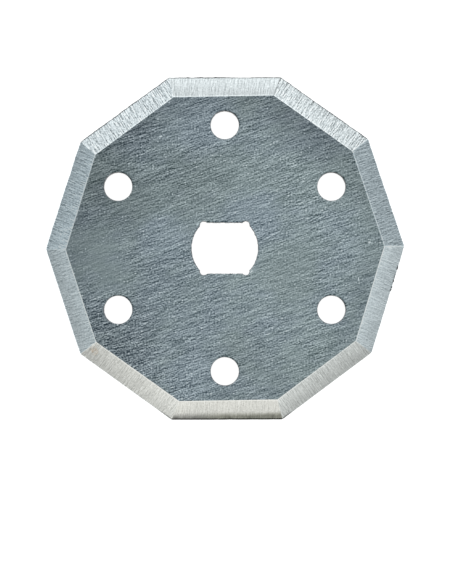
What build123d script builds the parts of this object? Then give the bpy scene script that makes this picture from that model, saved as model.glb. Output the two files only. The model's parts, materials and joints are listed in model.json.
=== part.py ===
from build123d import *
import math
import os

# Ten-sided rotary cutter blade: one piece of hardened sheet steel, in millimetres.
# It lies on its flat back with the ground bevels upwards.
# The origin is the centre of the drive opening on the back face, +X points at a corner, +Z is up.

# Sheet blank
side_count = 10
across_corners = 45.0
thickness = 1.0

# Ground sides: a wide bevel, and a fine honed facet that keeps the cutting edge from crumbling
bevel_width = 2.5
hone_width = 0.1
hone_height = 0.1

# Ring of round holes that let a tool hold the blade still, and the steel left between them and the bevels
ring_hole_count = 6
ring_hole_diameter = 3.5
ring_hole_web = 1.85
ring_start_angle = 90.0

# Drive opening: a round hole with two flats, and a small round relief in each of its corners
drive_diameter = 8.25
drive_across_flats = 6.3
relief_diameter = 0.8
relief_depth = 0.2

# Soft rim that the punch leaves where it enters the front face
rim_radius = 0.08

half_across_flats = across_corners / 2 * math.cos(math.pi / side_count)
ring_radius = half_across_flats - bevel_width - ring_hole_web - ring_hole_diameter / 2
punch_travel = 4 * thickness


def blank():
    """The flat plate, still at its full thickness out to the corners."""
    return extrude(RegularPolygon(across_corners / 2, side_count), amount=thickness)


def wheel_path():
    """What the grinding wheel sweeps along one side: all that lies outside the bevel and the honed facet."""
    bevel_run = (bevel_width - hone_width) / (thickness - hone_height)
    hone_run = hone_width / hone_height
    top = 2 * thickness
    bottom = -thickness
    section = Polyline(
        (half_across_flats - bevel_width - bevel_run * thickness, top),
        (half_across_flats - hone_width, hone_height),
        (half_across_flats + hone_run * thickness, bottom),
        (across_corners, bottom),
        (across_corners, top),
        close=True,
    )
    return extrude(Plane.XZ * make_face(section), amount=across_corners, both=True)


def ground_sides():
    """The wheel's sweep on every side, each one halfway between two corners."""
    wheel = wheel_path()
    side_angle = 360 / side_count
    return [Rot(Z=side_angle * (side + 0.5)) * wheel for side in range(side_count)]


def ring_holes():
    """Punches for the ring of round holes."""
    places = PolarLocations(ring_radius, ring_hole_count, start_angle=ring_start_angle)
    return places * Cylinder(ring_hole_diameter / 2, punch_travel)


def drive_outline():
    """The round hole cut off by two flats, with a relief biting past each corner."""
    radius = drive_diameter / 2
    half_flats = drive_across_flats / 2
    relief_radius = relief_diameter / 2
    corner_x = math.sqrt(radius**2 - half_flats**2)
    relief_y = half_flats + relief_depth - relief_radius
    flatted_hole = Circle(radius) & Rectangle(drive_diameter, drive_across_flats)
    reliefs = GridLocations(2 * corner_x, 2 * relief_y, 2, 2) * Circle(relief_radius)
    return flatted_hole + reliefs


def drive_opening():
    """Punch for the drive opening."""
    return extrude(drive_outline(), amount=punch_travel / 2, both=True)


def cutter_blade():
    """The plate ground on every side and punched, with the rims of its openings rolled over in front."""
    plate = blank() - ground_sides()
    punched = plate - ring_holes() - drive_opening()
    front = punched.faces().sort_by(Axis.Z)[-1]
    return fillet(front.inner_wires().edges(), rim_radius)


os.makedirs("parts", exist_ok=True)
blade = cutter_blade()
blade.label = "cutter_blade"
export_step(blade, "parts/cutter_blade.step")
print("volume mm3", round(blade.volume, 1), "solids", len(blade.solids()), "size", blade.bounding_box().size)
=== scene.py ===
import json
import math
import bpy
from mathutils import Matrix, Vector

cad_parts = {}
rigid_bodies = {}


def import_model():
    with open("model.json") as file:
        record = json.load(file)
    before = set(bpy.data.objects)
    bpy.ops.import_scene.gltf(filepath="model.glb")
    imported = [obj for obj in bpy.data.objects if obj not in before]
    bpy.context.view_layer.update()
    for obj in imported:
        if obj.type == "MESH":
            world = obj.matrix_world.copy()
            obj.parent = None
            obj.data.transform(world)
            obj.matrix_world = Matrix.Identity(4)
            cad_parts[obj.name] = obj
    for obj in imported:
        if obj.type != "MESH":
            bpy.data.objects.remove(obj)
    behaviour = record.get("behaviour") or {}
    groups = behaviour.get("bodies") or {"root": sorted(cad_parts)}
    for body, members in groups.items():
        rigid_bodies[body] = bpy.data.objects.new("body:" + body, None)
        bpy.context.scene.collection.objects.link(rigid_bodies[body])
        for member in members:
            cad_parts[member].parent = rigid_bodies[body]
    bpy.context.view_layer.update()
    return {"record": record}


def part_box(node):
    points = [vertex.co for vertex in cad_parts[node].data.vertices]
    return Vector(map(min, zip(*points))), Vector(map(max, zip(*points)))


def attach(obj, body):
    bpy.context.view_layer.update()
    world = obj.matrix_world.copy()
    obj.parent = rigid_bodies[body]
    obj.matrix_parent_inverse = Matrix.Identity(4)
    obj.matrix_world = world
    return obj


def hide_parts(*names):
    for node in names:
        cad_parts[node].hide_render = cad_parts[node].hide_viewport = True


# A ten-sided rotary cutter blade that lies on a white floor with its bevels up, seen from straight above

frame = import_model()

mm = 0.001

# Sizes that the frame gives
blade_low, blade_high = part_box("cutter_blade")
across_corners = blade_high.x - blade_low.x
thickness = blade_high.z - blade_low.z
mount_sizes = {mount["name"]: mount["dims"] for mount in frame["record"]["mounts"]}
ring_hole_count = mount_sizes["ring_holes"]["count"]
ring_hole_radius = mount_sizes["ring_holes"]["hole_r_mm"] * mm
ring_radius = mount_sizes["ring_holes"]["pcd_mm"] / 2 * mm
drive_radius = mount_sizes["drive_opening"]["r_mm"] * mm

# Ground sides
side_count = 10
side_length = across_corners * math.sin(math.pi / side_count)
bevel_width = 2.5 * mm
hone_width = 0.1 * mm
hone_height = 0.1 * mm
bevel_hollow = 0.01 * mm
edge_roundness = 0.02 * mm
shoulder_roundness = 0.07 * mm
flat_margin = 0.25 * mm

# How each side lies, counted anticlockwise from +X: how far its rim stands out from true and how much wider
# than true its bevel is, in millimetres, and by how many degrees its rim and its shoulder are turned
side_offsets = [-0.03, 0.12, -0.01, 0.01, -0.1, -0.11, -0.12, 0.01, 0.04, -0.02]
bevel_extra_widths = [0.03, 0.04, 0.03, 0.04, 0.03, -0.01, 0.03, 0.02, 0.0, 0.01]
rim_turns = [0.7, 0.8, 0.0, 0.0, 0.1, 0.2, 0.2, 0.2, 0.8, 0.8]
shoulder_turns = [0.7, 0.6, 1.0, 0.4, 0.7, 0.2, 0.5, 1.0, 0.9, 1.2]

# Wear of the rim. It wanders inwards where its noise is above the start, and least on the sides that face -Y,
# and it gives way at the tips. All of this fades out up the bevel, over about the depth of the wear.
rim_wander = 0.07 * mm
rim_wander_length = 1.1 * mm
rim_wander_start = 0.4
rim_wander_gain = 5.0
rim_wander_fade = 15 * mm
rim_wander_least = 0.3
tip_wear = 0.04 * mm
tip_wear_length = 0.3 * mm
wear_depth = 0.12 * mm

# Burrs that stand out of the rim: the side, the place along it from -1 to 1, the width and the reach
burrs = [
    (2, 0.66, 0.3 * mm, 0.05 * mm),
    (2, 0.47, 0.9 * mm, 0.03 * mm),
    (2, 0.33, 0.9 * mm, 0.04 * mm),
    (2, 0.17, 0.3 * mm, 0.05 * mm),
    (9, 0.59, 0.5 * mm, 0.08 * mm),
    (9, 0.42, 1.2 * mm, 0.03 * mm),
    (9, 0.34, 0.3 * mm, 0.06 * mm),
    (9, 0.23, 0.2 * mm, 0.09 * mm),
    (9, 0.18, 0.2 * mm, 0.09 * mm),
]

# Drive opening, and the rims and walls that the punch leaves
drive_half_flats = 6.3 / 2 * mm
relief_radius = 0.48 * mm
relief_depth = 0.19 * mm
relief_inset = 0.06 * mm
relief_softness = 0.12 * mm
rim_roll = 0.08 * mm
fracture_height = 0.45 * thickness
fracture_slope = 0.1 * thickness
fracture_width = 0.03 * mm
ring_hole_raggedness = 0.04 * mm
drive_raggedness = 0.12 * mm
raggedness_length = 0.3 * mm

# How finely the mesh is cut, how near two places have to be to count as one, and how upright the normal of a
# flat face is at least
steps_per_side = 130
cuts_down_bevel = 5
fillet_steps = 4
ring_hole_steps = 96
drive_steps = 720
tolerance = 0.001 * mm
least_upright = 0.98

# The camera looks straight down. The blade's centre lies at this column and row of the picture.
picture_width = 452
picture_height = 584
blade_centre_column = 224.8
blade_centre_row = 248.4
pixel_size = 0.1248 * mm
camera_height = 0.2
camera_near_limit = 1 * mm
sensor_height = 24.0

# Colours of the steel, and its darkest tones
face_blue = (0.378, 0.436, 0.482, 1)
face_green = (0.385, 0.447, 0.457, 1)
# The bevel's steel in the cool light, and tinted by the painted reflection of the warm light
bevel_cool_lit = (0.594, 0.646, 0.676, 1)
bevel_warm_lit = (0.65, 0.65, 0.63, 1)
rust_colour = (0.56, 0.44, 0.33, 1)
# The colour of the dark band along one bevel's rim
dark_band_colour = (0.64, 0.65, 0.58, 1)
wall_sheared = (0.2, 0.2, 0.21, 1)
wall_torn = (0.1, 0.1, 0.1, 1)
darkest_face = 0.15
darkest_bevel = 0.08

# Roughness of the steel, and how much rougher a bright stroke and the torn part of a wall are
face_roughness = 0.34
bevel_roughness = 0.3
wall_roughness = 0.35
stroke_roughness = 0.1
torn_roughness = 0.25

# A bright mark is paler than the steel round it, by this power of its brightness, as a painted reflection of
# the white light that it catches. No mark counts as darker than the second value.
reflection_paleness = 0.57
darkest_mark = 0.2

# Strokes of the grinding wheel, and the direction of the face's grain, anticlockwise from +X
grain_angle = math.radians(18.6)
short_stroke = 0.8 * mm
long_stroke = 1.6 * mm
stroke_width = 0.25 * mm
gouge_length = 7.0 * mm
gouge_width = 0.22 * mm

# How many specks, smears, patches and clouds lie along a millimetre
specks_per_mm = 5.0
smears_per_mm = 0.9
patches_per_mm = 0.16
clouds_along_grain_per_mm = 0.3
clouds_across_grain_per_mm = 0.8

# How strongly each kind of mark shows, on the face and on the bevels. The face's nicks carry painted glints.
face_scratch_strength = 1.08
face_run_strength = 0.62
face_speck_strength = 1.5
face_gouge_strength = 0.25
face_nick_glint_strength = 1.2
bevel_cut_strength = 0.9
bevel_scratch_strength = 0.3
bevel_speck_strength = 0.8
bevel_smear_strength = 0.25
bevel_glint_strength = 0.25

# The look of each ground side, counted anticlockwise from +X: its brightness, the painted light that makes it
# brighter at its shoulder than at its rim, how much brighter it is at its far end than at its near one, its
# painted warm reflection, the strength of its grinding lines, its painted shade at the rim, and the strength of
# its dark band
bevel_tones = [0.97, 1.08, 1.0, 1.07, 1.12, 1.06, 1.1, 1.21, 1.03, 1.15]
painted_bevel_slopes = [0.04, 0.14, -0.2, 0.0, 0.22, 0.22, 0.2, 0.14, 0.32, 0.22]
bevel_leans = [-0.04, 0.02, 0.0, 0.05, 0.13, 0.02, 0.28, -0.06, -0.12, 0.03]
warm_reflection_strengths = [0, 0.35, 0.35, 0.2, 0, 0, 0.78, 0.9, 0.78, 0.1]
bevel_line_strengths = [1.04, 1.43, 0.63, 1.43, 1.0, 0.73, 0.54, 0.4, 0.55, 0.62]
rim_shade_strengths = [0.1, 1.7, 2.5, 2.6, 0.1, 0.1, 0.2, 1.4, 0.2, 0.5]
rim_band_strengths = [0, 0, 0, 0, 0, 0, 0, 1, 0, 0]

# Strength of the painted highlight at each shoulder and at each mitre, the first of them at +X. Below 0 it is
# painted shade.
shoulder_highlight_strengths = [1.8, 0.7, 0.9, 0.7, 1.9, 1.5, 1.0, 0.8, 0.9, 1.5]
mitre_painted_light_strengths = [1.5, 1.1, -1.2, 0, 0.2, 1.3, 0.9, 0.3, 0.2, 0.2]

# Painted shade along the rims, painted highlights at the shoulders and mitres, burrs, and the dark band on the
# bevels. The rim's painted shade is full up to the first distance from the rim and gone at the second.
rim_shade_full = 0.02 * mm
rim_shade_gone = 0.14 * mm
rim_shade_darkness = 0.6
shoulder_highlight_half_width = 0.12 * mm
mitre_painted_line_half_width = 0.14 * mm
painted_line_strength = 0.4
burr_darkness = 0.8
dark_band_width = 1.12 * mm
dark_band_darkness = 0.65

# The rust spot on one bevel: x, y, length, width and direction in degrees
rust_spot = (-16.25 * mm, -12.75 * mm, 1.5 * mm, 1.2 * mm, 120)

# Soft areas of the ground face: x, y and radius, then how much lighter and bluer the steel is there, and how
# much stronger its grain
soft_areas = [
    (-4.0 * mm, 17.5 * mm, 7.0 * mm, 0.13, 0.9, 0.1),
    (11.2 * mm, 15.3 * mm, 7.0 * mm, -0.17, 0.5, 0.05),
    (-12.5 * mm, 12.5 * mm, 7.0 * mm, 0.02, 0.6, 0.35),
    (-12.5 * mm, 6.5 * mm, 5.0 * mm, -0.13, 0.0, -0.1),
    (-3.5 * mm, 9.0 * mm, 6.0 * mm, -0.08, 0.0, 0.05),
    (3.5 * mm, 4.5 * mm, 4.5 * mm, 0.05, 1.0, -0.1),
    (-7.5 * mm, 1.5 * mm, 4.0 * mm, 0.1, 0.5, 0.0),
    (-17.0 * mm, -2.0 * mm, 6.0 * mm, 0.05, -0.1, -0.45),
    (-12.0 * mm, -10.5 * mm, 5.5 * mm, -0.16, 0.3, 0.25),
    (-4.3 * mm, -16.6 * mm, 4.2 * mm, 0.13, 0.2, -0.1),
    (2.5 * mm, -13.0 * mm, 4.0 * mm, -0.08, -0.3, 0.05),
    (11.0 * mm, -13.5 * mm, 5.0 * mm, 0.1, -0.7, 0.0),
    (8.0 * mm, -3.0 * mm, 4.5 * mm, -0.05, -0.8, -0.1),
    (17.5 * mm, 2.0 * mm, 5.0 * mm, 0.1, -0.3, -0.1),
]

# Single scratches on the face: x, y, length, width, direction in degrees and brightness
single_scratches = [
    (17.97 * mm, 0.74 * mm, 0.5 * mm, 0.24 * mm, 0, 2.2),
    (16.6 * mm, -3.83 * mm, 0.6 * mm, 0.2 * mm, 90, 1.6),
    (1.2 * mm, -18.95 * mm, 1.0 * mm, 0.18 * mm, -55, 1.0),
    (-8.3 * mm, 16.07 * mm, 0.45 * mm, 0.22 * mm, 90, 1.8),
    (-7.98 * mm, 13.88 * mm, 0.45 * mm, 0.22 * mm, 0, 1.8),
    (-9.36 * mm, -6.26 * mm, 0.45 * mm, 0.22 * mm, 0, 1.6),
    (-11.75 * mm, -11.1 * mm, 1.1 * mm, 0.26 * mm, 15, -0.7),
    (-14.43 * mm, -11.4 * mm, 0.6 * mm, 0.24 * mm, 0, -0.7),
    (-11.42 * mm, -6.0 * mm, 0.6 * mm, 0.24 * mm, 10, -0.7),
    (-7.5 * mm, -7.2 * mm, 0.9 * mm, 0.24 * mm, 27, -0.7),
    (-3.35 * mm, 2.95 * mm, 0.5 * mm, 0.24 * mm, 45, 1.4),
    (3.3 * mm, -2.9 * mm, 0.5 * mm, 0.24 * mm, 45, 1.4),
]

# Painted shade at the punched rims on the face: a dark line along the upper flat of the drive opening, and a
# crescent at each ring hole, which is full up to the first distance from the hole and gone at the second. The
# rims of the openings that face one way carry painted shade.
flat_shade_gap = 0.15 * mm
flat_shade_half_width = 0.16 * mm
crescent_full = 0.08 * mm
crescent_gone = 0.28 * mm
crescent_shade_darkness = 0.6
shaded_rim_facing = (-0.5, -0.87, 0.0)

# Light: the tent's colours, then each softbox's azimuth, elevation, wide and narrow angle, and colour
tent_top = (0.4, 0.455, 0.475, 1)
tent_wall = (1.06, 1.11, 1.13, 1)
softboxes = [
    (90, 40, 50, 10, (0.74, 0.72, 0.7, 1)),
    (250, 40, 50, 10, (0.42, 0.36, 0.3, 1)),
    (325, 40, 45, 10, (0.24, 0.22, 0.2, 1)),
]
floor_size = 4.0
floor_gap = 0.01 * mm
floor_colour = (0.5, 0.5, 0.5, 1)
floor_glow = 0.85

GEOMETRY = "NodeSocketGeometry"
FLOAT = "NodeSocketFloat"
INT = "NodeSocketInt"
VECTOR = "NodeSocketVector"
COLOUR = "NodeSocketColor"
MATERIAL = "NodeSocketMaterial"


class Number:
    """A socket's value that can be written into sums. Each operator adds one maths node."""

    def __init__(self, recipe, socket):
        self.recipe = recipe
        self.socket = socket

    def __add__(self, other):
        return self.recipe.maths("ADD", self, other)

    def __sub__(self, other):
        return self.recipe.maths("SUBTRACT", self, other)

    def __rsub__(self, other):
        return self.recipe.maths("SUBTRACT", other, self)

    def __mul__(self, other):
        return self.recipe.maths("MULTIPLY", self, other)

    def __truediv__(self, other):
        return self.recipe.maths("DIVIDE", self, other)

    def __rtruediv__(self, other):
        return self.recipe.maths("DIVIDE", other, self)

    __radd__ = __add__
    __rmul__ = __mul__


class Recipe:
    """A node tree that is being filled, for shapes and for finishes alike."""

    def __init__(self, tree):
        self.tree = tree

    def put(self, kind, inputs=None, **settings):
        """A new node with its settings made and its inputs linked or set."""
        node = self.tree.nodes.new(kind)
        for name, value in settings.items():
            setattr(node, name, value)
        for name, value in (inputs or {}).items():
            self.feed(node.inputs[name], value)
        return node

    def feed(self, socket, value):
        value = value.socket if isinstance(value, Number) else value
        if isinstance(value, bpy.types.NodeSocket):
            self.tree.links.new(value, socket)
        else:
            socket.default_value = value

    def number(self, socket):
        return Number(self, socket)

    def maths(self, operation, *values, clamp=False):
        node = self.put("ShaderNodeMath", dict(enumerate(values)), operation=operation, use_clamp=clamp)
        return self.number(node.outputs[0])

    def vector(self, x=0.0, y=0.0, z=0.0):
        return self.put("ShaderNodeCombineXYZ", {"X": x, "Y": y, "Z": z}).outputs[0]

    def parts_of(self, vector):
        node = self.put("ShaderNodeSeparateXYZ", {"Vector": vector})
        return [self.number(socket) for socket in node.outputs]

    def scaled(self, vector, factor):
        """A vector or a colour times a number."""
        return self.put("ShaderNodeVectorMath", {0: vector, "Scale": factor}, operation="SCALE").outputs[0]

    def turned(self, vector, angle):
        """The vector turned about Z."""
        node = self.put("ShaderNodeVectorRotate", {"Vector": vector, "Angle": angle}, rotation_type="Z_AXIS")
        return node.outputs[0]

    def dot(self, first, second):
        node = self.put("ShaderNodeVectorMath", {0: first, 1: second}, operation="DOT_PRODUCT")
        return self.number(node.outputs["Value"])

    def ramp(self, value, start, end, low=0.0, high=1.0):
        """A soft step from low at start to high at end. The start may lie above the end."""
        inputs = {"Value": value, "From Min": start, "From Max": end, "To Min": low, "To Max": high}
        node = self.put("ShaderNodeMapRange", inputs, interpolation_type="SMOOTHSTEP")
        return self.number(node.outputs[0])

    def noise(self, vector, detail=2.0, roughness=0.5):
        """Smooth noise from 0 to 1, around 0.5, with features about one unit long."""
        inputs = {"Vector": vector, "Scale": 1.0, "Detail": detail, "Roughness": roughness}
        return self.number(self.put("ShaderNodeTexNoise", inputs).outputs[0])

    def random(self, vector):
        """A number from 0 to 1 that is the same wherever the vector is the same."""
        return self.number(self.put("ShaderNodeTexWhiteNoise", {"Vector": vector}).outputs["Value"])

    def mixed(self, factor, first, second, blend="MIX"):
        """The first colour, turning into the second as the factor goes from 0 to 1."""
        # The node has sockets for each type of value, and these are the ones for colours
        inputs = {0: factor, 6: first, 7: second}
        return self.put("ShaderNodeMix", inputs, data_type="RGBA", blend_type=blend).outputs[2]


def new_group(name, kind, inputs, outputs):
    """A node group with named sockets: its tree, a recipe for it, its inputs by name and its output node."""
    tree = bpy.data.node_groups.new(name, kind)
    for socket_name, socket_kind in inputs.items():
        tree.interface.new_socket(socket_name, in_out="INPUT", socket_type=socket_kind)
    for socket_name, socket_kind in outputs.items():
        tree.interface.new_socket(socket_name, in_out="OUTPUT", socket_type=socket_kind)
    recipe = Recipe(tree)
    entry = recipe.put("NodeGroupInput")
    given = {}
    for socket_name, socket_kind in inputs.items():
        socket = entry.outputs[socket_name]
        is_number = socket_kind in (FLOAT, INT)
        given[socket_name] = recipe.number(socket) if is_number else socket
    return tree, recipe, given, recipe.put("NodeGroupOutput")


def use_group(recipe, tree, given=None, **inputs):
    """Places a group in another tree and returns its outputs.

    An input is named with _ for each space. One that isn't named takes what is given under its own name, if
    anything is.
    """
    kind = "GeometryNodeGroup" if tree.bl_idname == "GeometryNodeTree" else "ShaderNodeGroup"
    node = recipe.put(kind, node_tree=tree)
    values = {name: value for name, value in (given or {}).items() if name in node.inputs}
    values.update({name.replace("_", " "): value for name, value in inputs.items()})
    for name, value in values.items():
        recipe.feed(node.inputs[name], value)
    return node.outputs


def position_parts(r):
    return r.parts_of(r.put("GeometryNodeInputPosition").outputs[0])


def moved(r, shape, **where):
    """The shape with its points at a new Position, or moved by an Offset."""
    return r.put("GeometryNodeSetPosition", {"Geometry": shape, **where}).outputs[0]


def picked(r, index, values, kind="FLOAT"):
    """The value that has this index in a list."""
    node = r.put("GeometryNodeIndexSwitch", {"Index": index}, data_type=kind)
    while len(node.index_switch_items) < len(values):
        node.index_switch_items.new()
    for place, value in enumerate(values):
        r.feed(node.inputs[place + 1], value)
    return node.outputs[0]


def line_through(r, corners):
    """A curve through a list of corners in the XY plane."""
    index = r.put("GeometryNodeInputIndex").outputs[0]
    corner = picked(r, index, [r.vector(x, y) for x, y in corners], "VECTOR")
    line = r.put("GeometryNodeMeshLine", {"Count": len(corners)}).outputs[0]
    return r.put("GeometryNodeMeshToCurve", {"Mesh": moved(r, line, Position=corner)}).outputs[0]


def rounded(r, curve, radius):
    inputs = {"Curve": curve, "Count": fillet_steps, "Radius": radius, "Limit Radius": True}
    return r.put("GeometryNodeFilletCurve", inputs, mode="POLY").outputs[0]


def circle(r, steps, radius):
    return r.put("GeometryNodeCurvePrimitiveCircle", {"Resolution": steps, "Radius": radius}).outputs[0]


def same(r, value, target):
    """1 where the value is the target, within the tolerance."""
    return r.maths("COMPARE", value, target, tolerance)


def with_material(r, mesh, material, selection=True):
    inputs = {"Geometry": mesh, "Selection": selection, "Material": material}
    return r.put("GeometryNodeSetMaterial", inputs).outputs[0]


def with_crisp_edges(r, mesh, selection):
    """Keeps the shading on the two sides of each selected edge apart."""
    inputs = {"Geometry": mesh, "Selection": selection, "Shade Smooth": False}
    return r.put("GeometryNodeSetShadeSmooth", inputs, domain="EDGE").outputs[0]


def bevel_section():
    """The section of a ground side: edge of the back, rim, honed facet, bevel and edge of the front.

    X is the distance in from the rim and Y the height. The bevel is very slightly hollow, as a round wheel
    leaves it.
    """
    tree, r, given, result = new_group("Bevel section", "GeometryNodeTree", {
        "Thickness": FLOAT, "Bevel Width": FLOAT, "Hone Width": FLOAT, "Hone Height": FLOAT, "Hollow": FLOAT,
        "Edge Roundness": FLOAT, "Shoulder Roundness": FLOAT, "Flat Margin": FLOAT, "Bevel Cuts": INT,
    }, {"Curve": GEOMETRY})
    width, height, margin = given["Bevel Width"], given["Thickness"], given["Flat Margin"]
    hone = given["Hone Width"]
    line = line_through(r, [
        (margin, 0.0),
        (0.0, 0.0),
        (hone, given["Hone Height"]),
        (width, height),
        (width + margin, height),
    ])
    cuts = same(r, position_parts(r)[0], hone) * given["Bevel Cuts"]
    line = r.put("GeometryNodeSubdivideCurve", {"Curve": line, "Cuts": cuts}).outputs[0]
    x, y, _ = position_parts(r)
    up_bevel = r.maths("DIVIDE", x - hone, width - hone, clamp=True)
    sag = given["Hollow"] * 4.0 * up_bevel * (1.0 - up_bevel) * r.maths("GREATER_THAN", y, 0.0)
    line = moved(r, line, Offset=r.vector(0.0, -1.0 * sag, 0.0))
    at_edge = same(r, x, 0.0) + same(r, x, hone)
    radius = at_edge * given["Edge Roundness"] + same(r, x, width) * given["Shoulder Roundness"]
    r.feed(result.inputs[0], rounded(r, line, radius))
    return tree


def wall_section():
    """The section of an opening's wall: edge of the front, rolled rim, sheared part, torn part, back.

    X is the distance into the steel and Y the height.
    """
    tree, r, given, result = new_group("Wall section", "GeometryNodeTree", {
        "Thickness": FLOAT, "Rim Roll": FLOAT, "Fracture Height": FLOAT, "Fracture Slope": FLOAT,
        "Fracture Width": FLOAT, "Edge Roundness": FLOAT,
    }, {"Curve": GEOMETRY})
    top, roll, edge = given["Thickness"], given["Rim Roll"], given["Edge Roundness"]
    wide, start = given["Fracture Width"], given["Fracture Height"]

    # The two ends reach a bit past the rounded corners beside them
    line = line_through(r, [
        (roll * 1.1, top),
        (0.0, top),
        (0.0, start),
        (wide, start - given["Fracture Slope"]),
        (wide, 0.0),
        (wide + edge * 1.1, 0.0),
    ])
    x, y, _ = position_parts(r)
    at_rim = same(r, x, 0.0) * same(r, y, top)
    r.feed(result.inputs[0], rounded(r, line, edge + (roll - edge) * at_rim))
    return tree


def ground_line():
    """How a line along a ground side lies: the direction that it faces, and how far from the centre it runs.

    A real wheel never quite repeats itself, so each side has its own offset and bevel width, and its rim and
    shoulder are turned a bit.
    """
    tree, r, given, result = new_group("Ground line", "GeometryNodeTree", {
        "Side": FLOAT, "Inset": FLOAT, "Sides": FLOAT, "Across Corners": FLOAT, "Bevel Width": FLOAT,
    }, {"Facing": FLOAT, "Reach": FLOAT})
    index = r.maths("FLOORED_MODULO", given["Side"], given["Sides"])
    rim_turn = r.number(picked(r, index, [math.radians(turn) for turn in rim_turns]))
    shoulder_turn = r.number(picked(r, index, [math.radians(turn) for turn in shoulder_turns]))
    to_shoulder = r.maths("DIVIDE", given["Inset"], given["Bevel Width"], clamp=True)
    half_turn = math.pi / given["Sides"]
    facing = (given["Side"] + 0.5) * half_turn * 2.0 + rim_turn + (shoulder_turn - rim_turn) * to_shoulder
    half_across_flats = given["Across Corners"] / 2.0 * r.maths("COSINE", half_turn)
    offset = r.number(picked(r, index, [offset * mm for offset in side_offsets]))
    extra_width = r.number(picked(r, index, [extra * mm for extra in bevel_extra_widths]))
    r.feed(result.inputs["Facing"], facing)
    r.feed(result.inputs["Reach"], half_across_flats + offset - given["Inset"] - extra_width * to_shoulder)
    return tree


def side_place():
    """The place of a point on a ground side, given as a share of the way from one mitre to the next.

    Along is its place from the side's middle, and From Mitre its distance from the nearer mitre.
    """
    tree, r, given, result = new_group("Side place", "GeometryNodeTree", {
        "Side": FLOAT, "Share": FLOAT, "Inset": FLOAT, "Height": FLOAT,
        "Sides": FLOAT, "Across Corners": FLOAT, "Bevel Width": FLOAT,
    }, {"Position": VECTOR, "Along": FLOAT, "From Mitre": FLOAT})
    line = ground_line()

    def laid(side):
        return [r.number(socket) for socket in use_group(r, line, given, Side=side)]

    facing, reach = laid(given["Side"])
    last_facing, last_reach = laid(given["Side"] - 1.0)
    next_facing, next_reach = laid(given["Side"] + 1.0)

    # A mitre lies where the lines along two neighbouring sides meet
    last_turn = facing - last_facing
    next_turn = next_facing - facing
    start = (reach * r.maths("COSINE", last_turn) - last_reach) / r.maths("SINE", last_turn)
    end = (next_reach - reach * r.maths("COSINE", next_turn)) / r.maths("SINE", next_turn)
    along = start + (end - start) * given["Share"]
    r.feed(result.inputs["Position"], r.turned(r.vector(reach, along, given["Height"]), facing))
    r.feed(result.inputs["Along"], along)
    r.feed(result.inputs["From Mitre"], r.maths("MINIMUM", along - start, end - along))
    return tree


def kept(r, mesh, name, value, domain):
    """Stores a value on the mesh, in millimetres where it is a length, for the materials to read."""
    inputs = {"Geometry": mesh, "Name": name, "Value": value}
    return r.put("GeometryNodeStoreNamedAttribute", inputs, data_type="FLOAT", domain=domain).outputs[0]


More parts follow.
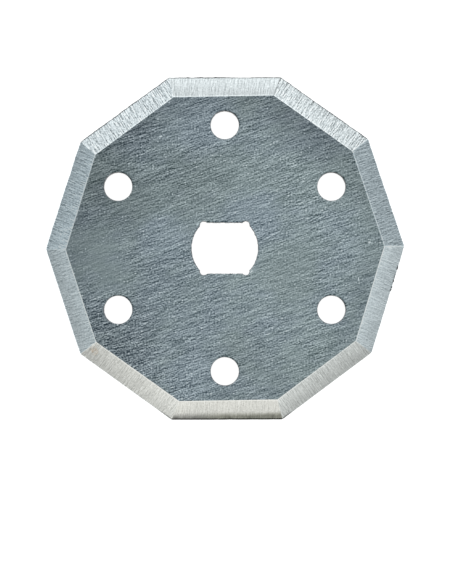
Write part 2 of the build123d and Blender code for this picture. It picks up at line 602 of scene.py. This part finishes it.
def ground_sides():
    """The strip of facets round the plate: the section repeated along every side, with straight mitres."""
    tree, r, given, result = new_group("Ground sides", "GeometryNodeTree", {
        "Section": GEOMETRY, "Sides": FLOAT, "Across Corners": FLOAT, "Bevel Width": FLOAT, "Steps": FLOAT,
        "Rim Wander": FLOAT, "Wander Length": FLOAT, "Tip Wear": FLOAT, "Bevel": MATERIAL,
    }, {"Mesh": GEOMETRY})
    sides = given["Sides"]
    count = r.put("GeometryNodeAttributeDomainSize", {"Geometry": given["Section"]}, component="CURVE")
    rows = r.number(count.outputs["Point Count"])
    columns = sides * given["Steps"] + 1.0
    inputs = {"Size X": 1.0, "Size Y": 1.0, "Vertices X": columns, "Vertices Y": rows}
    grid = r.put("GeometryNodeMeshGrid", inputs).outputs[0]
    x, y, _ = position_parts(r)
    around = (x + 0.5) * sides
    side = r.maths("MINIMUM", r.maths("FLOOR", around), sides - 1.0)
    along = (around - side) * 2.0 - 1.0

    # The mitre between two sides is a crisp line
    at_mitre = r.maths("GREATER_THAN", r.maths("ABSOLUTE", along), 0.999)
    grid = with_crisp_edges(r, grid, at_mitre)

    # Each row of the grid is one point of the section
    row = r.maths("ROUND", (y + 0.5) * (rows - 1.0))
    sampled = r.put("GeometryNodeSampleIndex", {"Geometry": given["Section"], "Index": row},
                    data_type="FLOAT_VECTOR", domain="POINT")
    r.feed(sampled.inputs["Value"], r.put("GeometryNodeInputPosition").outputs[0])
    inset, height, _ = r.parts_of(sampled.outputs[0])

    # Wear: the rim wanders inwards, most on the sides that face +Y, and gives way at the tips
    half_turn = math.pi / sides
    half_across_flats = given["Across Corners"] / 2.0 * r.maths("COSINE", half_turn)
    half_side = half_across_flats * r.maths("TANGENT", half_turn)
    rim = r.turned(r.vector(half_across_flats, along * half_side, 0.0), (side + 0.5) * half_turn * 2.0)
    wander = r.noise(r.scaled(rim, 1.0 / given["Wander Length"]), detail=4.0, roughness=0.6)
    wander = r.maths("MAXIMUM", wander - rim_wander_start, 0.0)
    wander = wander * r.ramp(r.parts_of(rim)[1], -rim_wander_fade, rim_wander_fade, low=rim_wander_least)
    from_tip = (1.0 - r.maths("ABSOLUTE", along)) * half_side
    worn = given["Rim Wander"] * wander * rim_wander_gain
    worn = worn + given["Tip Wear"] * r.maths("EXPONENT", from_tip / -tip_wear_length)

    # At half its width from its middle a burr still has about a third of its reach
    burr_reach_here = 0.0
    for burr_side, burr_along, burr_width, burr_reach in burrs:
        middle = burr_side + (burr_along + 1) / 2
        off = (around - middle) * half_side * (4.0 / burr_width)
        burr_reach_here = burr_reach_here + burr_reach * r.maths("EXPONENT", -1.0 * off * off)
    worn_inset = inset + (worn - burr_reach_here) * r.maths("EXPONENT", inset / -wear_depth)

    # A face's own corners take their side from the face, because the points of a mitre belong to two sides
    mesh = kept(r, grid, "side", side, "FACE")
    read_back = r.put("GeometryNodeInputNamedAttribute", {"Name": "side"}, data_type="FLOAT")
    own_side = r.number(read_back.outputs[0])
    place = side_place()
    marked = use_group(r, place, given, Side=own_side, Share=around - own_side, Inset=inset, Height=height)
    mesh = kept(r, mesh, "along", r.number(marked["Along"]) / mm, "CORNER")
    mesh = kept(r, mesh, "from_mitre", r.number(marked["From Mitre"]) / mm, "CORNER")
    mesh = kept(r, mesh, "inset", inset / mm, "POINT")
    mesh = kept(r, mesh, "burr", burr_reach_here / mm, "POINT")
    laid = use_group(r, place, given, Side=side, Share=around - side, Inset=worn_inset, Height=height)
    mesh = moved(r, mesh, Position=laid["Position"])
    r.feed(result.inputs[0], with_material(r, mesh, given["Bevel"]))
    return tree


def drive_outline():
    """The drive opening's outline: a round hole cut off by two flats, with a round relief past each corner.

    The distance from the centre follows from the angle.
    """
    tree, r, given, result = new_group("Drive outline", "GeometryNodeTree", {
        "Drive Radius": FLOAT, "Drive Half Flats": FLOAT, "Drive Steps": INT, "Relief Radius": FLOAT,
        "Relief Depth": FLOAT, "Relief Inset": FLOAT, "Relief Softness": FLOAT,
    }, {"Curve": GEOMETRY})
    radius, half_flats, relief = given["Drive Radius"], given["Drive Half Flats"], given["Relief Radius"]
    outline = circle(r, given["Drive Steps"], 1.0)
    x, y, _ = position_parts(r)
    across = r.maths("ABSOLUTE", x)
    up = r.maths("ABSOLUTE", y)
    flatted = r.maths("MINIMUM", radius, half_flats / r.maths("MAXIMUM", up, 0.01))
    relief_x = r.maths("SQRT", radius * radius - half_flats * half_flats) - given["Relief Inset"]
    relief_y = half_flats + given["Relief Depth"] - relief
    nearest = across * relief_x + up * relief_y
    room = relief * relief - (relief_x * relief_x + relief_y * relief_y - nearest * nearest)
    half_chord = r.maths("SQRT", r.maths("MAXIMUM", room, 0.0))
    to_relief = (nearest + half_chord) * r.maths("GREATER_THAN", room, 0.0)
    reach = r.maths("SMOOTH_MAX", flatted, to_relief, given["Relief Softness"])
    r.feed(result.inputs[0], moved(r, outline, Position=r.vector(x * reach, y * reach, 0.0)))
    return tree


def punched_wall():
    """The wall round an opening: its outline swept by the wall's section, then made a little ragged."""
    tree, r, given, result = new_group("Punched wall", "GeometryNodeTree", {
        "Outline": GEOMETRY, "Section": GEOMETRY, "Thickness": FLOAT, "Raggedness": FLOAT,
        "Raggedness Length": FLOAT, "Wall": MATERIAL,
    }, {"Mesh": GEOMETRY})
    # A swept section hangs upside down, so it is turned over first
    x, y, z = position_parts(r)
    section = moved(r, given["Section"], Position=r.vector(x, -1.0 * y, 0.0))
    inputs = {"Curve": given["Outline"], "Profile Curve": section}
    wall = r.put("GeometryNodeCurveToMesh", inputs).outputs[0]

    # The whole wall follows one ragged outline, and between its two rims it is uneven from top to bottom too
    step = 1.0 / given["Raggedness Length"]
    for uneven_down, spares_rims in ((0.0, False), (0.5, True)):
        where = r.vector(x * step, y * step, z * step * uneven_down)
        inputs = {"Vector": where, "Scale": 1.0, "Detail": 2.0, "Roughness": 0.5}
        push_x, push_y, _ = r.parts_of(r.put("ShaderNodeTexNoise", inputs).outputs["Color"])
        reach = given["Raggedness"]
        if spares_rims:
            reach = reach * (1.0 - same(r, z, given["Thickness"])) * (1.0 - same(r, z, 0.0))
        wall = moved(r, wall, Offset=r.vector((push_x - 0.5) * reach, (push_y - 0.5) * reach, 0.0))
    wall = r.put("GeometryNodeFlipFaces", {"Mesh": wall}).outputs[0]
    r.feed(result.inputs[0], with_material(r, wall, given["Wall"]))
    return tree


def on_border(r):
    """1 on an edge that has a face on one side only."""
    return same(r, r.number(r.put("GeometryNodeInputMeshEdgeNeighbors").outputs[0]), 1.0)


def filled_face(r, mesh, height, flipped):
    """The flat face that closes the mesh's open loops at one height."""
    at_height = same(r, position_parts(r)[2], height)
    loops = r.put("GeometryNodeMeshToCurve", {"Mesh": mesh, "Selection": on_border(r) * at_height}).outputs[0]
    face = r.put("GeometryNodeFillCurve", {"Curve": loops}, mode="TRIANGLES").outputs[0]
    face = moved(r, face, Offset=r.vector(0.0, 0.0, height))
    return r.put("GeometryNodeFlipFaces", {"Mesh": face}).outputs[0] if flipped else face


def joined(r, *shapes):
    node = r.put("GeometryNodeJoinGeometry")
    for shape in shapes:
        r.feed(node.inputs[0], shape)
    return node.outputs[0]


def welded(r, mesh):
    return r.put("GeometryNodeMergeByDistance", {"Geometry": mesh, "Distance": tolerance}).outputs[0]


def kind_of(value):
    """The kind of socket that takes a value."""
    if isinstance(value, bpy.types.Material):
        return MATERIAL
    return INT if isinstance(value, int) else FLOAT


def blade_shape(values):
    """The whole blade: ground sides, walls of the openings, and the two faces between them."""
    inputs = {"Geometry": GEOMETRY, **{name: kind_of(value) for name, value in values.items()}}
    tree, r, given, result = new_group("Cutter blade", "GeometryNodeTree", inputs, {"Geometry": GEOMETRY})
    bevel = use_group(r, bevel_section(), given)[0]
    sides = use_group(r, ground_sides(), given, Section=bevel)[0]
    section = use_group(r, wall_section(), given)[0]

    # The ring starts at +Y
    inputs = {"Vertices": given["Ring Holes"], "Radius": given["Ring Radius"]}
    centres = r.put("GeometryNodeMeshCircle", inputs, fill_type="NONE").outputs[0]
    x, y, _ = position_parts(r)
    centres = moved(r, centres, Position=r.vector(-1.0 * y, x, 0.0))
    hole = circle(r, given["Ring Hole Steps"], given["Ring Hole Radius"])
    holes = r.put("GeometryNodeInstanceOnPoints", {"Points": centres, "Instance": hole}).outputs[0]
    holes = r.put("GeometryNodeRealizeInstances", {"Geometry": holes}).outputs[0]

    wall = punched_wall()
    ragged = given["Ring Raggedness"]
    hole_walls = use_group(r, wall, given, Outline=holes, Section=section, Raggedness=ragged)[0]
    outline = use_group(r, drive_outline(), given)[0]
    ragged = given["Drive Raggedness"]
    drive_walls = use_group(r, wall, given, Outline=outline, Section=section, Raggedness=ragged)[0]

    # The shading of a flat face is kept apart from that of the rounded edge beside it
    edges = with_crisp_edges(r, welded(r, joined(r, sides, hole_walls, drive_walls)), on_border(r))
    front = filled_face(r, edges, given["Thickness"], flipped=False)
    back = filled_face(r, edges, 0.0, flipped=True)
    whole = welded(r, joined(r, edges, front, back))
    inputs = {"Geometry": whole, "Shade Smooth": True}
    whole = r.put("GeometryNodeSetShadeSmooth", inputs, domain="FACE").outputs[0]
    whole = r.put("GeometryNodeRealizeInstances", {"Geometry": whole}).outputs[0]

    # All that lies flat has the face's finish
    normal = r.put("GeometryNodeInputNormal").outputs[0]
    flat = r.maths("GREATER_THAN", r.maths("ABSOLUTE", r.parts_of(normal)[2]), least_upright)
    r.feed(result.inputs[0], with_material(r, whole, given["Face"], flat))
    return tree


def new_material(name):
    material = bpy.data.materials.new(name)
    material.use_nodes = True
    material.node_tree.nodes.clear()
    return material, Recipe(material.node_tree)


def place_in_mm(r):
    """Where a point lies on the piece, in millimetres."""
    return r.scaled(r.put("ShaderNodeTexCoord").outputs["Object"], 1.0 / mm)


def kept_value(r, name):
    """A value that the blade's node tree has stored on the mesh."""
    return r.number(r.put("ShaderNodeAttribute", attribute_name=name).outputs["Fac"])


def ground_strokes():
    """Grinding strokes: straight marks side by side, each with a tone of its own from -0.5 to 0.5.

    A row of strokes has its own start and stroke length, and each stroke fades at its ends. With a full lip a
    dark stroke has a bright far half and a bright stroke a dark one, and with none the two halves are alike.
    """
    tree, r, given, result = new_group("Ground strokes", "ShaderNodeTree", {
        "Position": VECTOR, "Direction": FLOAT, "Length": FLOAT, "Width": FLOAT, "Lip": FLOAT, "Seed": FLOAT,
    }, {"Strokes": FLOAT})
    x, y, _ = r.parts_of(r.turned(given["Position"], -1.0 * given["Direction"]))
    across = y / given["Width"]
    row = r.maths("FLOOR", across)
    turn = (across - row) * math.pi
    alike = r.maths("SINE", turn)
    profile = alike + (r.maths("SINE", turn * 2.0) - alike) * given["Lip"]
    start = r.random(r.vector(row, given["Seed"], 0.5))
    run = x / given["Length"] * (0.7 + start * 0.6) + start * 100.0
    stroke = r.maths("FLOOR", run)
    through = run - stroke
    fade = r.maths("MULTIPLY", through * (1.0 - through), 8.0, clamp=True)
    tone = r.random(r.vector(row, stroke, given["Seed"])) - 0.5
    r.feed(result.inputs[0], tone * fade * profile)
    return tree


def toned_steel():
    """A steel's colour times its tone, with bright marks paler than the steel and dark ones less pale. The
    paleness paints the white light that a bright mark reflects.
    """
    tree, r, given, result = new_group("Toned steel", "ShaderNodeTree", {
        "Colour": COLOUR, "Tone": FLOAT, "Marks": FLOAT,
    }, {"Colour": COLOUR})
    saturation = r.maths("POWER", r.maths("MAXIMUM", given["Marks"], darkest_mark), -reflection_paleness)
    node = r.put("ShaderNodeHueSaturation", {"Color": given["Colour"], "Saturation": saturation})
    r.feed(result.inputs[0], r.scaled(node.outputs[0], given["Tone"]))
    return tree


def by_place(r, place, values):
    """The value that belongs to a side or a corner, counted anticlockwise from +X."""
    low, high = min(values), max(values)
    node = r.put("ShaderNodeValToRGB", {"Fac": (place + 0.5) / len(values)})
    node.color_ramp.interpolation = "CONSTANT"
    stops = node.color_ramp.elements
    while len(stops) < len(values):
        stops.new(1.0)
    for step, value in enumerate(values):
        share = (value - low) / (high - low)
        stops[step].position = step / len(values)
        stops[step].color = (share, share, share, 1.0)
    return r.number(node.outputs[0]) * (high - low) + low


def band(r, value, centre, half_width):
    """1 at the centre, falling softly to 0 at half a width away."""
    return r.ramp(r.maths("ABSOLUTE", value - centre), half_width, 0.0)


def spot(r, x, y, middle_x, middle_y, length, width, direction=0.0):
    """1 in the middle of an oval mark, falling softly to 0 at its outline. The point x, y is in millimetres."""
    turn = math.radians(direction)
    x = x - middle_x / mm
    y = y - middle_y / mm
    on = (x * math.cos(turn) + y * math.sin(turn)) / (length / mm / 2)
    off = (y * math.cos(turn) - x * math.sin(turn)) / (width / mm / 2)
    return r.ramp(on * on + off * off, 1.0, 0.0)


def bare_metal(r, colour, roughness, **inputs):
    """Ends a material in metal of this colour and roughness."""
    inputs = {"Base Color": colour, "Metallic": 1.0, "Roughness": roughness, **inputs}
    shader = r.put("ShaderNodeBsdfPrincipled", inputs)
    r.put("ShaderNodeOutputMaterial", {"Surface": shader.outputs[0]})


def face_steel(strokes, toned):
    """The face: grey steel with straight grain, nicks with painted glints, and painted shade upper left and
    near the bevels.
    """
    material, r = new_material("ground_face_steel")
    place = place_in_mm(r)
    x, y, _ = r.parts_of(place)

    def grain(length, width, lip, seed):
        outputs = use_group(r, strokes, Position=place, Direction=grain_angle, Length=length / mm,
                            Width=width / mm, Lip=lip, Seed=seed)
        return r.number(outputs[0])

    scratches = grain(short_stroke, stroke_width, 1.0, 1.0)
    runs = grain(long_stroke, stroke_width, 0.0, 4.0)
    specks = r.noise(r.scaled(place, specks_per_mm), detail=0.0) - 0.5
    patches = r.noise(r.scaled(place, patches_per_mm), detail=3.0, roughness=0.55) - 0.5
    along, across, _ = r.parts_of(r.turned(place, -grain_angle))
    clouds = r.vector(along * clouds_along_grain_per_mm, across * clouds_across_grain_per_mm, 3.0)
    clouds = r.noise(clouds) - 0.5
    gouges = r.ramp(grain(gouge_length, gouge_width, 0.0, 9.0), -0.3, -0.45)
    # The highest specks are nicks, and their brightness is a painted glint
    nicks = r.ramp(specks, 0.25, 0.36)
    marks = scratches * face_scratch_strength + runs * face_run_strength + specks * face_speck_strength
    marks = marks - gouges * face_gouge_strength

    # The grain is strongest at the lower left. Painted light makes the tone rise to the right, and painted
    # shade makes it fall towards the bevels.
    contrast = r.ramp(patches, -0.15, 0.15, low=1.2, high=0.9)
    contrast = contrast * r.ramp(x + y, -16.0, -28.0, low=1.0, high=1.5)
    painted_light_to_right = r.ramp(x - y * 0.5, -26.0, 8.0, low=0.76, high=1.05)
    painted_light_to_right = painted_light_to_right * r.ramp(y, -8.0, -14.0, low=1.0, high=0.96)
    from_centre = r.maths("SQRT", x * x + y * y)
    painted_shade_near_bevels = r.ramp(from_centre, 13.0, 20.0) * r.ramp(y + x * 0.3, -15.0, 18.0, low=0.1, high=0.27)
    tone = painted_light_to_right - painted_shade_near_bevels + patches * 0.13 + clouds * 0.2
    greenness = patches * 0.5 + clouds * 0.3 + y * 0.002 + band(r, y, 8.5, 6.0) * 0.12
    for area_x, area_y, radius, lighter, bluer, stronger in soft_areas:
        area = spot(r, x, y, area_x, area_y, 2 * radius, 2 * radius)
        tone = tone + area * lighter
        greenness = greenness - area * (bluer * 0.2)
        contrast = contrast + area * stronger
    marks = marks * contrast
    marks = 1.0 + marks + marks * marks * 0.14 + nicks * face_nick_glint_strength
    for *where, brightness in single_scratches:
        marks = marks + spot(r, x, y, *where) * brightness

    # Painted shade in a beaded dark line along the upper flat of the drive opening
    beads = r.ramp(r.noise(r.vector(x * 2.5, 7.0, 0.0)), 0.38, 0.6)
    flat_shade = band(r, y, (drive_half_flats + flat_shade_gap) / mm, flat_shade_half_width / mm)
    flat_shade = flat_shade * r.ramp(r.maths("ABSOLUTE", x), 2.9, 2.6)
    marks = marks - flat_shade * (0.2 + beads * 0.5)

    # The punch rolls the face over more on one side of each ring hole, and the shade of that roll is painted
    # there as a thin dark crescent
    step = math.tau / ring_hole_count
    sector = r.maths("ROUND", (r.maths("ARCTAN2", y, x) - math.pi / 2) / step) * step + math.pi / 2
    from_hole_x = x - r.maths("COSINE", sector) * (ring_radius / mm)
    from_hole_y = y - r.maths("SINE", sector) * (ring_radius / mm)
    from_hole = r.maths("SQRT", from_hole_x * from_hole_x + from_hole_y * from_hole_y)
    turned_to = (from_hole_x * -shaded_rim_facing[0] + from_hole_y * -shaded_rim_facing[1]) / from_hole
    from_rim = from_hole - ring_hole_radius / mm
    crescent = r.ramp(from_rim, crescent_gone / mm, crescent_full / mm)
    crescent = crescent * r.ramp(turned_to, 0.3, 0.8)
    marks = marks - crescent * crescent_shade_darkness

    tone = r.maths("MAXIMUM", tone * marks, darkest_face)
    colour = r.mixed(r.ramp(greenness, -0.15, 0.15), face_blue, face_green)
    colour = use_group(r, toned, Colour=colour, Tone=tone, Marks=marks)[0]
    bare_metal(r, colour, face_roughness + scratches * stroke_roughness)
    return material


def bevel_steel(strokes, toned):
    """The bevels: bright steel ground straight across, each side with its own share of lines and marks."""
    material, r = new_material("ground_bevel_steel")
    position = place_in_mm(r)
    x, y, _ = r.parts_of(position)
    side = kept_value(r, "side")
    along = kept_value(r, "along")
    inset = kept_value(r, "inset")
    from_mitre = kept_value(r, "from_mitre")
    corner = r.maths("FLOORED_MODULO", side + r.maths("GREATER_THAN", along, 0.0), float(side_count))
    across = r.vector(inset, along, 0.0)

    def cut(length, width, lip, seed):
        outputs = use_group(r, strokes, Position=across, Direction=0.0, Length=length / mm, Width=width / mm,
                            Lip=lip, Seed=side + seed)
        return r.number(outputs[0])

    cuts = cut(short_stroke, stroke_width, 1.0, 20.0)
    scratches = cut(long_stroke, stroke_width, 0.0, 40.0)
    smears = r.noise(r.scaled(position, smears_per_mm), detail=3.0, roughness=0.6) - 0.5
    specks = r.noise(r.scaled(position, specks_per_mm), detail=0.0) - 0.5
    glints = r.ramp(specks, 0.27, 0.4)
    to_shoulder = r.ramp(inset, 0.0, bevel_width / mm) - 0.5
    to_far_end = along / (side_length / mm)
    # Painted light and shade change each side's tone from its rim to its shoulder
    tone = by_place(r, side, bevel_tones) * (1.0 + to_shoulder * by_place(r, side, painted_bevel_slopes))
    tone = tone * (1.0 + to_far_end * by_place(r, side, bevel_leans))
    marks = cuts * bevel_cut_strength + scratches * bevel_scratch_strength + specks * bevel_speck_strength
    marks = marks * by_place(r, side, bevel_line_strengths) + smears * bevel_smear_strength
    marks = 1.0 + marks + glints * bevel_glint_strength
    tone = tone * marks

    # The painted shade along the rim, which is widest and darkest where the rim lies furthest towards -Y
    uneven = r.noise(r.vector(along * 1.5, side * 5.0, 0.0), detail=3.0, roughness=0.6)
    lowest_rim_shade = r.ramp(y, -19.9, -20.8)
    from_rim = inset - uneven * 0.1 - lowest_rim_shade * 0.07
    rim = r.ramp(from_rim, rim_shade_gone / mm, rim_shade_full / mm)
    tone = tone - rim * (by_place(r, side, rim_shade_strengths) + lowest_rim_shade * 0.8) * rim_shade_darkness

    # The dark band along one side, which breaks up in clouds and fades towards the shoulder
    cloudy = r.noise(r.vector(along * 0.5, inset * 0.5, side), detail=2.0)
    dark_band = r.ramp(inset - (cloudy - 0.5) * 0.5, dark_band_width / mm, along * 0.028 + 0.33)
    dark_band = dark_band * by_place(r, side, rim_band_strengths)
    tone = tone * (1.0 - dark_band * (1.0 + smears * 1.2) * dark_band_darkness)

    # Dark burrs, and the painted highlights at the shoulder and the mitres
    burr = r.ramp(kept_value(r, "burr"), 0.01, 0.05)
    tone = tone - burr * r.ramp(inset, 0.25, 0.1) * burr_darkness
    beside_shoulder = bevel_width - shoulder_highlight_half_width / 2
    shoulder = band(r, inset, beside_shoulder / mm, shoulder_highlight_half_width / mm)
    tone = tone + shoulder * by_place(r, side, shoulder_highlight_strengths) * painted_line_strength
    mitre = band(r, from_mitre, 0.0, mitre_painted_line_half_width / mm)
    tone = tone + mitre * by_place(r, corner, mitre_painted_light_strengths) * painted_line_strength
    tone = r.maths("MAXIMUM", tone, darkest_bevel)

    stained = spot(r, x, y, *rust_spot)
    dots = r.ramp(r.noise(r.scaled(position, 3.5), detail=1.0), 0.4, 0.6, low=0.1, high=0.6)
    # Painted reflection of the warm light, strongest on the sides that face -Y
    colour = r.mixed(by_place(r, side, warm_reflection_strengths), bevel_cool_lit, bevel_warm_lit)
    colour = r.mixed(dark_band * r.ramp(along, -5.0, 0.0), colour, dark_band_colour)
    colour = r.mixed(stained * dots, colour, rust_colour)
    colour = use_group(r, toned, Colour=colour, Tone=tone, Marks=marks)[0]
    bare_metal(r, colour, bevel_roughness + cuts * stroke_roughness)
    return material


def wall_steel():
    """The walls that the punch leaves: drawn lines down the sheared part, and dull torn steel below it."""
    material, r = new_material("sheared_wall_steel")
    place = place_in_mm(r)
    x, y, z = r.parts_of(place)
    drawn = r.noise(r.vector(x * 7.0, y * 7.0, z * 0.8), detail=3.0, roughness=0.6) - 0.5
    torn = r.noise(r.scaled(place, 6.0), detail=4.0, roughness=0.7) - 0.5
    is_torn = r.ramp(z + drawn * 0.25, fracture_height / mm, fracture_height / mm - 0.06)
    tone = 1.0 + drawn * 1.2 + torn * is_torn * 1.5

    # Painted shade on the rims that face down and left on the blade
    normal = r.put("ShaderNodeTexCoord").outputs["Normal"]
    tone = tone * r.ramp(r.dot(normal, shaded_rim_facing), 0.3, 0.65, low=1.0, high=0.3)
    colour = r.scaled(r.mixed(is_torn, wall_sheared, wall_torn), tone)
    relief = drawn * 0.4 + torn * is_torn
    bump = r.put("ShaderNodeBump", {"Strength": 0.6, "Distance": 0.05 * mm, "Height": relief})
    bare_metal(r, colour, wall_roughness + is_torn * torn_roughness, Normal=bump.outputs[0])
    return material


def build_blade():
    """The blade's mesh, grown by its node tree and turned into a plain mesh."""
    strokes = ground_strokes()
    toned = toned_steel()
    values = {
        "Across Corners": across_corners, "Thickness": thickness,
        "Sides": float(side_count), "Steps": float(steps_per_side),
        "Bevel Width": bevel_width, "Hone Width": hone_width, "Hone Height": hone_height,
        "Hollow": bevel_hollow, "Bevel Cuts": cuts_down_bevel,
        "Edge Roundness": edge_roundness, "Shoulder Roundness": shoulder_roundness,
        "Flat Margin": flat_margin,
        "Rim Wander": rim_wander, "Wander Length": rim_wander_length, "Tip Wear": tip_wear,
        "Ring Holes": ring_hole_count, "Ring Radius": ring_radius, "Ring Hole Radius": ring_hole_radius,
        "Ring Hole Steps": ring_hole_steps, "Ring Raggedness": ring_hole_raggedness,
        "Drive Radius": drive_radius, "Drive Half Flats": drive_half_flats,
        "Relief Radius": relief_radius, "Relief Depth": relief_depth, "Relief Inset": relief_inset,
        "Relief Softness": relief_softness, "Drive Steps": drive_steps, "Drive Raggedness": drive_raggedness,
        "Raggedness Length": raggedness_length, "Rim Roll": rim_roll,
        "Fracture Height": fracture_height, "Fracture Slope": fracture_slope,
        "Fracture Width": fracture_width,
        "Face": face_steel(strokes, toned), "Bevel": bevel_steel(strokes, toned), "Wall": wall_steel(),
    }
    tree = blade_shape(values)
    grown = bpy.data.objects.new("grown_blade", bpy.data.meshes.new("grown_blade"))
    bpy.context.scene.collection.objects.link(grown)
    modifier = grown.modifiers.new("Cutter blade", "NODES")
    modifier.node_group = tree
    for item in tree.interface.items_tree:
        if item.in_out == "INPUT" and item.name in values:
            modifier[item.identifier] = values[item.name]
    bpy.context.view_layer.update()
    evaluated = grown.evaluated_get(bpy.context.evaluated_depsgraph_get())
    mesh = bpy.data.meshes.new_from_object(evaluated)
    bpy.data.objects.remove(grown)

    # The node tree puts an empty slot before its materials
    while None in mesh.materials[:]:
        mesh.materials.pop(index=mesh.materials[:].index(None))
    mesh.name = "ground_blade"
    blade = bpy.data.objects.new("ground_blade", mesh)
    bpy.context.scene.collection.objects.link(blade)
    return blade


def softbox(r, direction, azimuth, elevation, wide, narrow):
    """1 inside the narrow angle from where the softbox stands, falling softly to 0 at the wide one."""
    azimuth, elevation, wide, narrow = [math.radians(angle) for angle in (azimuth, elevation, wide, narrow)]
    across = math.cos(elevation)
    axis = (across * math.cos(azimuth), across * math.sin(azimuth), math.sin(elevation))
    return r.ramp(r.dot(direction, axis), math.cos(wide), math.cos(narrow))


def light_studio():
    """A light tent: dim and cool overhead, white round the horizon, with one strong and two weak lights."""
    world = bpy.data.worlds.new("studio")
    world.use_nodes = True
    world.node_tree.nodes.clear()
    r = Recipe(world.node_tree)
    direction = r.put("ShaderNodeTexCoord").outputs["Generated"]
    height = r.parts_of(direction)[2]
    light = r.mixed(r.ramp(height, 0.55, 0.05), tent_top, tent_wall)
    for azimuth, elevation, wide, narrow, colour in softboxes:
        light = r.mixed(softbox(r, direction, azimuth, elevation, wide, narrow), light, colour, blend="ADD")
    background = r.put("ShaderNodeBackground", {"Color": light, "Strength": 1.0})
    r.put("ShaderNodeOutputWorld", {"Surface": background.outputs[0]})
    bpy.context.scene.world = world


def build_floor():
    """A plain white floor. What looks straight at it sees it white, and the blade's shadow stays."""
    half = floor_size / 2
    corners = [(-half, -half), (half, -half), (half, half), (-half, half)]
    mesh = bpy.data.meshes.new("floor")
    mesh.from_pydata([(x, y, -floor_gap) for x, y in corners], [], [(0, 1, 2, 3)])
    material, r = new_material("white_floor")
    rays = r.put("ShaderNodeLightPath").outputs
    seen = r.number(rays["Is Camera Ray"]) + r.number(rays["Is Glossy Ray"])
    seen = r.maths("MINIMUM", seen + r.number(rays["Is Transmission Ray"]), 1.0)
    paper = r.put("ShaderNodeBsdfDiffuse", {"Color": floor_colour})
    glow = r.put("ShaderNodeEmission", {"Color": (1, 1, 1, 1), "Strength": seen * floor_glow})
    both = r.put("ShaderNodeAddShader", {0: paper.outputs[0], 1: glow.outputs[0]})
    r.put("ShaderNodeOutputMaterial", {"Surface": both.outputs[0]})
    mesh.materials.append(material)
    floor = bpy.data.objects.new("floor", mesh)
    bpy.context.scene.collection.objects.link(floor)
    return floor


def place_camera():
    """A camera straight above, framed so that the blade lies where the photograph shows it."""
    camera = bpy.data.cameras.new("camera")
    camera.sensor_fit = "VERTICAL"
    camera.sensor_height = sensor_height
    camera.lens = sensor_height * camera_height / (picture_height * pixel_size)
    camera.clip_start = camera_near_limit
    stand = bpy.data.objects.new("camera", camera)
    stand.location = (
        (picture_width / 2 - blade_centre_column) * pixel_size,
        (blade_centre_row - picture_height / 2) * pixel_size,
        camera_height,
    )
    bpy.context.scene.collection.objects.link(stand)
    bpy.context.scene.camera = stand


# Blender starts with a cube, a light and a camera of its own
for start_object in [item for item in bpy.data.objects if item.name in ("Cube", "Light", "Camera")]:
    bpy.data.objects.remove(start_object)

blade = build_blade()
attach(blade, "root")
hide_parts("cutter_blade")
build_floor()
light_studio()
place_camera()
bpy.context.scene.view_settings.view_transform = "Standard"
